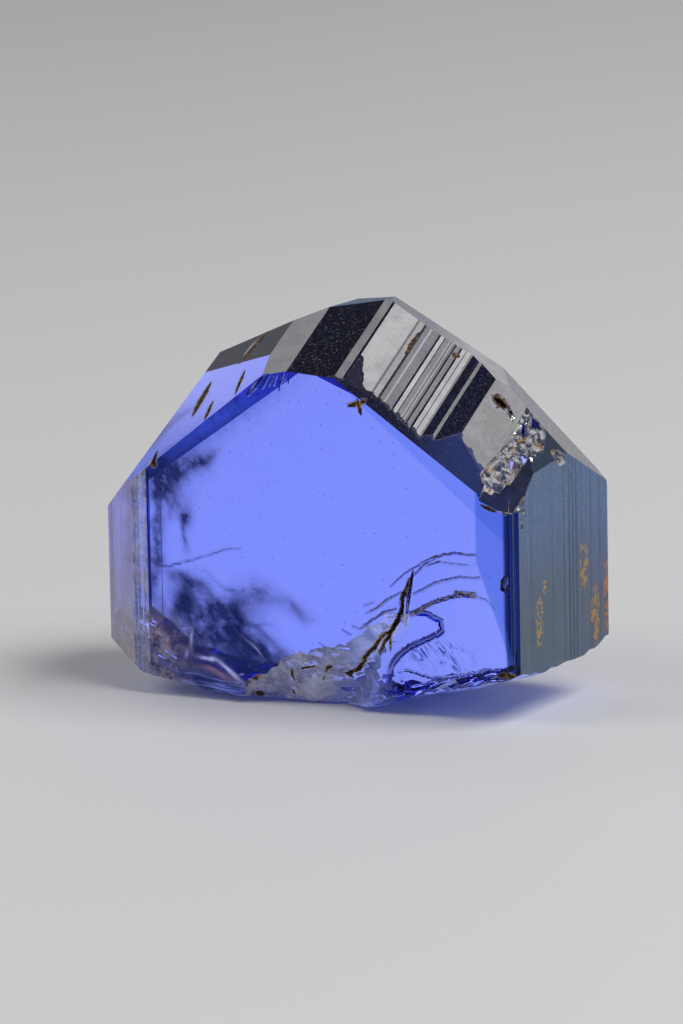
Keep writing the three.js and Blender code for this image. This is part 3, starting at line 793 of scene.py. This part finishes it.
def etchedFilm(tree, place, frost, clouds, color, alpha):  # peppered and dusty, with a dark ragged border of painted shade
    x = axis(tree, place, 0)
    streaks = put(tree, "TexNoise", {"Vector": put(tree, "CombineXYZ", {0: x}).outputs[0]}, Scale=9.0)
    alpha = times(tree, alpha, ramp(tree, clouds, 0, 1, 0.82, 1.0))
    alpha = times(tree, alpha, ramp(tree, streaks.outputs["Fac"], 0.35, 0.65, 0.94, 1.04))
    peppered = useGroup(tree, "specks", place, *frosted["pepper"])
    color = blend(tree, peppered, 0.25, color, frosted["hollowShade"])
    dust = soft(tree, place, "dust")
    specks = calc(tree, "ADD", dust, useGroup(tree, "specks", place, *frosted["flecks"]))
    alpha = calc(tree, "ADD", alpha, times(tree, specks, ramp(tree, frost, 0.02, 0.3, 0.16, 0.01)))
    dusty = times(tree, dust, ramp(tree, clouds, 0, 1, 0.3, 1))
    # painted shade: an opaque, nearly black film along the front bevel, flecked with dust and bluer to the
    # right
    shadedBorder = mixColor(tree, dusty, frosted["shadedBorder"], frosted["borderDust"])
    right = ramp(tree, x, rightX - 6.5, rightX - 3.5)
    shadedBorder = blend(tree, right, 0.6, shadedBorder, frosted["borderBlue"])
    bright = aboveBevel(tree, place)
    alpha = calc(tree, "MAXIMUM", alpha, calc(tree, "SUBTRACT", 0.95, bright))
    return mixColor(tree, bright, shadedBorder, color), alpha, None


def milkyFilm(tree, place, frost, clouds, color, alpha):  # painted light: bluer and glowing towards the right, where the stone's light shows through the frost
    veins = middleLine(tree, soft(tree, place, "seams"), 0.0, 0.03)
    color = blend(tree, veins, 0.8, color, frosted["vein"])
    color = blend(tree, soft(tree, place, "golden"), 0.4, color, frosted["gold"])
    glowRight = ramp(tree, axis(tree, place, 0), rightX - 11, rightX - 8.5, 0.15, 0.8)
    glow = mixColor(tree, glowRight, (0, 0, 0), frosted["milkGlow"])
    alpha = times(tree, alpha, ramp(tree, clouds, 0, 1, 0.55, 1.12))
    return mixColor(tree, glowRight, color, frosted["glowingMilk"]), alpha, glow


def violetFilm(tree, place, frost, clouds, color, alpha):
    # painted glow: the violet film emits a blue-violet light
    return color, alpha, frosted["violetGlow"]


def lilacFilm(tree, place, frost, clouds, color, alpha):  # turns beige towards the bottom
    uneven = calc(tree, "ADD", axis(tree, place, 2), times(tree, clouds, 2.5))
    color = mixColor(tree, ramp(tree, uneven, 4.5, 11.5, 0.9, 0), color, frosted["beige"])
    lines = useGroup(tree, "lines", place, 3.5)
    return color, times(tree, alpha, ramp(tree, lines, 0.3, 0.7, 0.93, 1.04)), None


def mottledFilm(tree, place, frost, clouds, color, alpha):  # fades out to the right and upwards
    low, high, _ = zones["mottled"]
    left, right = rightX + low[0], rightX + high[0]
    reach = times(tree, ramp(tree, axis(tree, place, 0), left + 0.6, right, 1, 0),
                  ramp(tree, axis(tree, place, 2), high[2] - 2.6, high[2] - 0.2, 1, 0))
    color = mixColor(tree, clouds, frosted["mist"], frosted["bloom"])
    color = blend(tree, soft(tree, place, "rosy"), 0.75, color, frosted["pink"])
    color = blend(tree, soft(tree, place, "shadows"), 0.8, color, frosted["soot"])
    return color, times(tree, reach, ramp(tree, soft(tree, place, "smudges"), 0, 1, 0.25, 0.85)), None


def chippedFilm(tree, place, frost, clouds, color, alpha):
    # partly painted light: the white flakes are the white of crushed crystal and painted glints, with painted
    # shade between them and gold flecks
    color = mixColor(tree, soft(tree, place, "glintFlakes"), frosted["hollowShade"], color)
    return blend(tree, soft(tree, place, "goldFlakes"), 0.8, color, frosted["gold"]), alpha, None


def satinFilm(tree, place, frost, clouds, color, alpha):  # a little bluer towards the top
    color = mixColor(tree, ramp(tree, axis(tree, place, 2), 6, 11), color, frosted["satinHigh"])
    lines = useGroup(tree, "lines", place, 4.5)
    alpha = times(tree, alpha, ramp(tree, lines, 0.3, 0.7, 0.92, 1.06))
    for stain in sideStains:
        color, alpha = overStain(tree, place, color, alpha, stain)
    return color, alpha, None


films = dict(rust=rustFilm, etched=etchedFilm, milky=milkyFilm, violet=violetFilm, lilac=lilacFilm,
             mottled=mottledFilm, chipped=chippedFilm, satin=satinFilm)


def skinMaterial(kind):
    material, tree, shader = newMaterial(kind + "Skin")
    shader.inputs["Roughness"].default_value = frosted["roughness"]
    shader.inputs["Specular IOR Level"].default_value = frosted["shine"]
    place = useGroup(tree, "place")
    frost = stored(tree, "frost")
    grain, clouds = soft(tree, place, "grain"), soft(tree, place, "clouds")
    base = frosted.get(kind, frosted["rustBright"])  # the rust and mottled films mix their own colours
    color = mixColor(tree, grain, base, tuple(frosted["hollows"] * c for c in base))
    alpha = times(tree, frost, ramp(tree, grain, 0, 1, 0.85, 1.08))
    color, alpha, glow = films[kind](tree, place, frost, clouds, color, alpha)
    tree.links.new(color, shader.inputs["Base Color"])
    tree.links.new(alpha, shader.inputs["Alpha"])
    # painted glow for the films that have one
    if isinstance(glow, bpy.types.NodeSocket):
        tree.links.new(glow, shader.inputs["Emission Color"])
    elif glow is not None:
        shader.inputs["Emission Color"].default_value = (*glow, 1)
    shader.inputs["Emission Strength"].default_value = 0 if glow is None else 1
    return material


skin = makeFrost()
for kind in skinKinds:
    skin.data.materials.append(skinMaterial(kind))
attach(skin, "root")
print("frosted skin done:", len(skin.data.polygons), "faces")

# inner veils: smoky and pinkish wisps, pale wisps of painted glints and a wisp of painted blue glow, on three
# sheets inside the crystal; every veil glows with its own colour
veils = dict(
    left=-23.9, right=-11.2, low=0.2, high=17.2, slant=(-0.292, -0.111),  # mm, and slant per mm of depth
    clear=0.12, faintest=0.03,  # distance kept from the surface in mm, weakest veil that is kept
    tones=("smoke", "pale", "pink", "blueGlow"), falloff=0.8, thickest=0.96, glow=0.6,
    # the wisps' curl: seed and grain of the noise, mm at the front, mm more per mm of depth
    seed=1795515717, curl=(0.9, 0.12, 0.05), bend=(0.5, 0.5),  # grain and mm of the sheets' bend
    # painted light: the second and fourth colours here stand in for glints and glow inside the stone
    smoke=(0.001, 0.014, 0.10), pale=(0.55, 0.56, 0.95), pink=(0.30, 0.17, 0.24), blueGlow=(0.07, 0.15, 0.95),
    # soft patterns: scale, level of the hollows, level of the crests
    torn=(1.0, 0.3, 0.62), streaks=(1.6, 0.3, 0.7),
)
# depth behind the front face, spacing, then wisps: x, z, reach along, reach across, turn, weight, tone
veilSheets = dict(
    near=(0.7, 0.08, [
        [-18.01, 2.15, 0.5, 0.13, -8, 0.9, "pale"], [-16.61, 1.64, 1.0, 0.13, -36, 0.95, "pale"],
        [-17.54, 2.09, 0.16, 0.12, 0, 0.95, "pale"], [-18.63, 3.15, 0.6, 0.1, 84, 0.8, "pale"],
        [-19.01, 2.33, 0.3, 0.13, 70, 0.6, "pale"], [-15.06, 2.97, 0.85, 0.05, -37, 0.85, "pale"],
        [-18.87, 0.77, 1.0, 0.08, -14, 0.7, "pale"], [-17.4, 0.64, 0.7, 0.08, -12, 0.6, "pale"],
        [-17.26, 1.38, 1.2, 0.22, -17, 0.85, "pink"], [-17.86, 3.21, 0.3, 0.5, 0, 0.3, "pink"],
        [-20.12, 2.82, 0.18, 0.3, 20, 0.7, "pink"], [-21.45, 3.86, 0.2, 0.3, 30, 0.6, "pink"],
        [-20.84, 4.33, 0.4, 0.6, 0, 0.3, "pale"], [-18.82, 2.5, 1.9, 0.04, 89, 0.75, "smoke"],
        [-16.93, 0.88, 1.2, 0.1, -8, 0.9, "smoke"], [-17.43, 1.89, 0.5, 0.07, -30, 0.7, "smoke"],
        [-19.86, 3.57, 0.25, 0.7, -10, 0.55, "smoke"], [-15.65, 2.5, 1.1, 0.12, -30, 0.8, "smoke"],
        [-19.2, 1.69, 0.5, 0.12, -50, 0.7, "smoke"], [-16.2, 2.35, 1.5, 0.45, -18, 0.8, "smoke"],
        [-17.1, 14.5, 4.2, 0.75, 32, 0.6, "blueGlow"],
    ]),
    middle=(3.4, 0.12, [
        [-15.99, 3.15, 1.3, 0.5, -22, 0.9, "smoke"], [-14.6, 2.59, 0.9, 0.3, -30, 0.85, "smoke"],
        [-19.28, 5.08, 0.42, 0.7, -10, 0.85, "smoke"], [-16.07, 4.44, 0.5, 0.8, 5, 0.9, "smoke"],
        [-14.23, 3.4, 1.3, 0.12, -34, 0.5, "smoke"], [-21.1, 5.83, 0.3, 0.8, 0, 0.5, "smoke"],
        [-14.8, 3.97, 0.9, 0.1, 6, 0.4, "smoke"], [-19.68, 9.63, 0.25, 0.5, -25, 0.5, "smoke"],
        [-18.86, 9.48, 0.32, 0.5, 10, 0.95, "smoke"], [-19.01, 8.38, 0.14, 0.75, 3, 0.8, "smoke"],
        [-19.43, 10.32, 0.5, 0.1, -52, 0.7, "smoke"], [-18.47, 4.78, 0.9, 0.35, -40, 0.6, "smoke"],
    ]),
    far=(6.6, 0.15, [
        [-19.17, 4.83, 0.7, 1.0, -10, 1.0, "smoke"], [-17.59, 4.58, 1.1, 0.8, 0, 0.9, "smoke"],
        [-16.07, 4.29, 0.9, 1.1, 0, 1.0, "smoke"], [-16.16, 3.24, 1.8, 0.8, -15, 1.0, "smoke"],
        [-18.96, 6.04, 1.2, 0.28, -22, 0.85, "smoke"], [-16.67, 6.11, 1.2, 0.09, -14, 0.6, "smoke"],
        [-14.76, 5.53, 0.8, 0.55, 0, 0.7, "smoke"], [-12.91, 5.05, 0.9, 0.4, -25, 0.6, "smoke"],
        [-18.51, 3.05, 1.3, 0.9, 0, 0.85, "smoke"], [-14.61, 2.22, 1.6, 0.7, -15, 0.8, "smoke"],
        [-20.47, 11.03, 0.9, 1.0, 20, 1.0, "smoke"], [-19.51, 11.76, 1.5, 0.8, 33, 1.0, "smoke"],
        [-18.13, 12.4, 0.9, 0.32, 30, 0.8, "smoke"], [-20.78, 8.61, 0.28, 2.2, 0, 0.75, "smoke"],
        [-20.96, 6.52, 0.5, 1.6, 0, 0.6, "smoke"], [-20.59, 2.88, 0.9, 1.4, 0, 0.6, "smoke"],
    ]),
)


def wispHere(x, z, wisp):  # the weight of a wisp at a place on its sheet
    wx, wz, along, across, turn, weight, _ = wisp
    dx, dz = x - wx, z - wz
    c, s = math.cos(math.radians(turn)), math.sin(math.radians(turn))
    far = ((dx * c + dz * s) / along) ** 2 + ((dz * c - dx * s) / across) ** 2
    return weight * math.exp(-veils["falloff"] * far)


def makeVeils():
    tree = BVHTree.FromObject(stone, bpy.context.evaluated_depsgraph_get())
    v = veils
    noise.seed_set(v["seed"])  # or the curl would change with the clock
    curlGrain, curlFront, curlDeeper = v["curl"]
    bendGrain, bendHeight = v["bend"]
    bm = bmesh.new()
    layers = {tone: bm.verts.layers.float.new(tone) for tone in v["tones"]}
    for depth, spacing, wisps in veilSheets.values():
        wide, tall = v["right"] - v["left"], v["high"] - v["low"]
        grid = bmesh.ops.create_grid(bm, x_segments=round(wide / spacing), y_segments=round(tall / spacing),
                                     size=0.5)["verts"]
        for vert in grid:
            x, z = v["left"] + (vert.co.x + 0.5) * wide, v["low"] + (vert.co.y + 0.5) * tall
            curl = noise.noise_vector(Vector((x, depth, z)) * curlGrain) * (curlFront + curlDeeper * depth)
            for wisp in wisps:
                layer = layers[wisp[-1]]
                vert[layer] = 1 - (1 - vert[layer]) * (1 - wispHere(x + curl.x, z + curl.z, wisp))
            bend = bendHeight * noise.noise(Vector((x, 0, z)) * bendGrain)
            vert.co = spot(x + v["slant"][0] * depth, depth + bend, z + v["slant"][1] * depth)
    hidden = []
    for face in bm.faces:
        middle = face.calc_center_median()
        place, normal, _, gap = tree.find_nearest(middle)
        seen = max(vert[layer] for vert in face.verts for layer in layers.values())
        outside = (middle - place).dot(normal) > 0
        if seen < v["faintest"] or gap < v["clear"] * mm or outside:
            hidden.append(face)
    bmesh.ops.delete(bm, geom=hidden, context="FACES")
    mesh = bpy.data.meshes.new("innerVeils")
    bm.to_mesh(mesh)
    bm.free()
    return addObject("innerVeils", mesh)


def veilMaterial():
    material, tree, shader = newMaterial("smokyVeil")
    shader.inputs["Roughness"].default_value = 1
    shader.inputs["Specular IOR Level"].default_value = 0
    place = useGroup(tree, "place")
    drawn = put(tree, "Mapping", {"Vector": place}, vector_type="TEXTURE", Rotation=(0, -0.75, 0),
                Scale=(0.6, 1, 1.8))
    torn = useGroup(tree, "grain", place, *veils["torn"])
    streaks = useGroup(tree, "grain", drawn.outputs[0], *veils["streaks"])
    worn = times(tree, ramp(tree, torn, 0, 1, 0.65, 1.15), ramp(tree, streaks, 0, 1, 0.84, 1.08))
    smoke, pale, pink, blueGlow = (stored(tree, tone) for tone in veils["tones"])
    color = mixColor(tree, blueGlow, veils["smoke"], veils["blueGlow"])
    color = mixColor(tree, pink, color, veils["pink"])
    color = mixColor(tree, pale, color, veils["pale"])
    tree.links.new(color, shader.inputs["Base Color"])
    # painted glow: the veils emit their own colour
    tree.links.new(color, shader.inputs["Emission Color"])
    shader.inputs["Emission Strength"].default_value = veils["glow"]
    total = calc(tree, "MAXIMUM", calc(tree, "MAXIMUM", smoke, pale), calc(tree, "MAXIMUM", pink, blueGlow))
    alpha = calc(tree, "MINIMUM", times(tree, total, worn), veils["thickest"])
    tree.links.new(alpha, shader.inputs["Alpha"])
    return material


veil = makeVeils()
veil.data.materials.append(veilMaterial())
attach(veil, "root")
print("inner veils done:", len(veil.data.polygons), "faces")
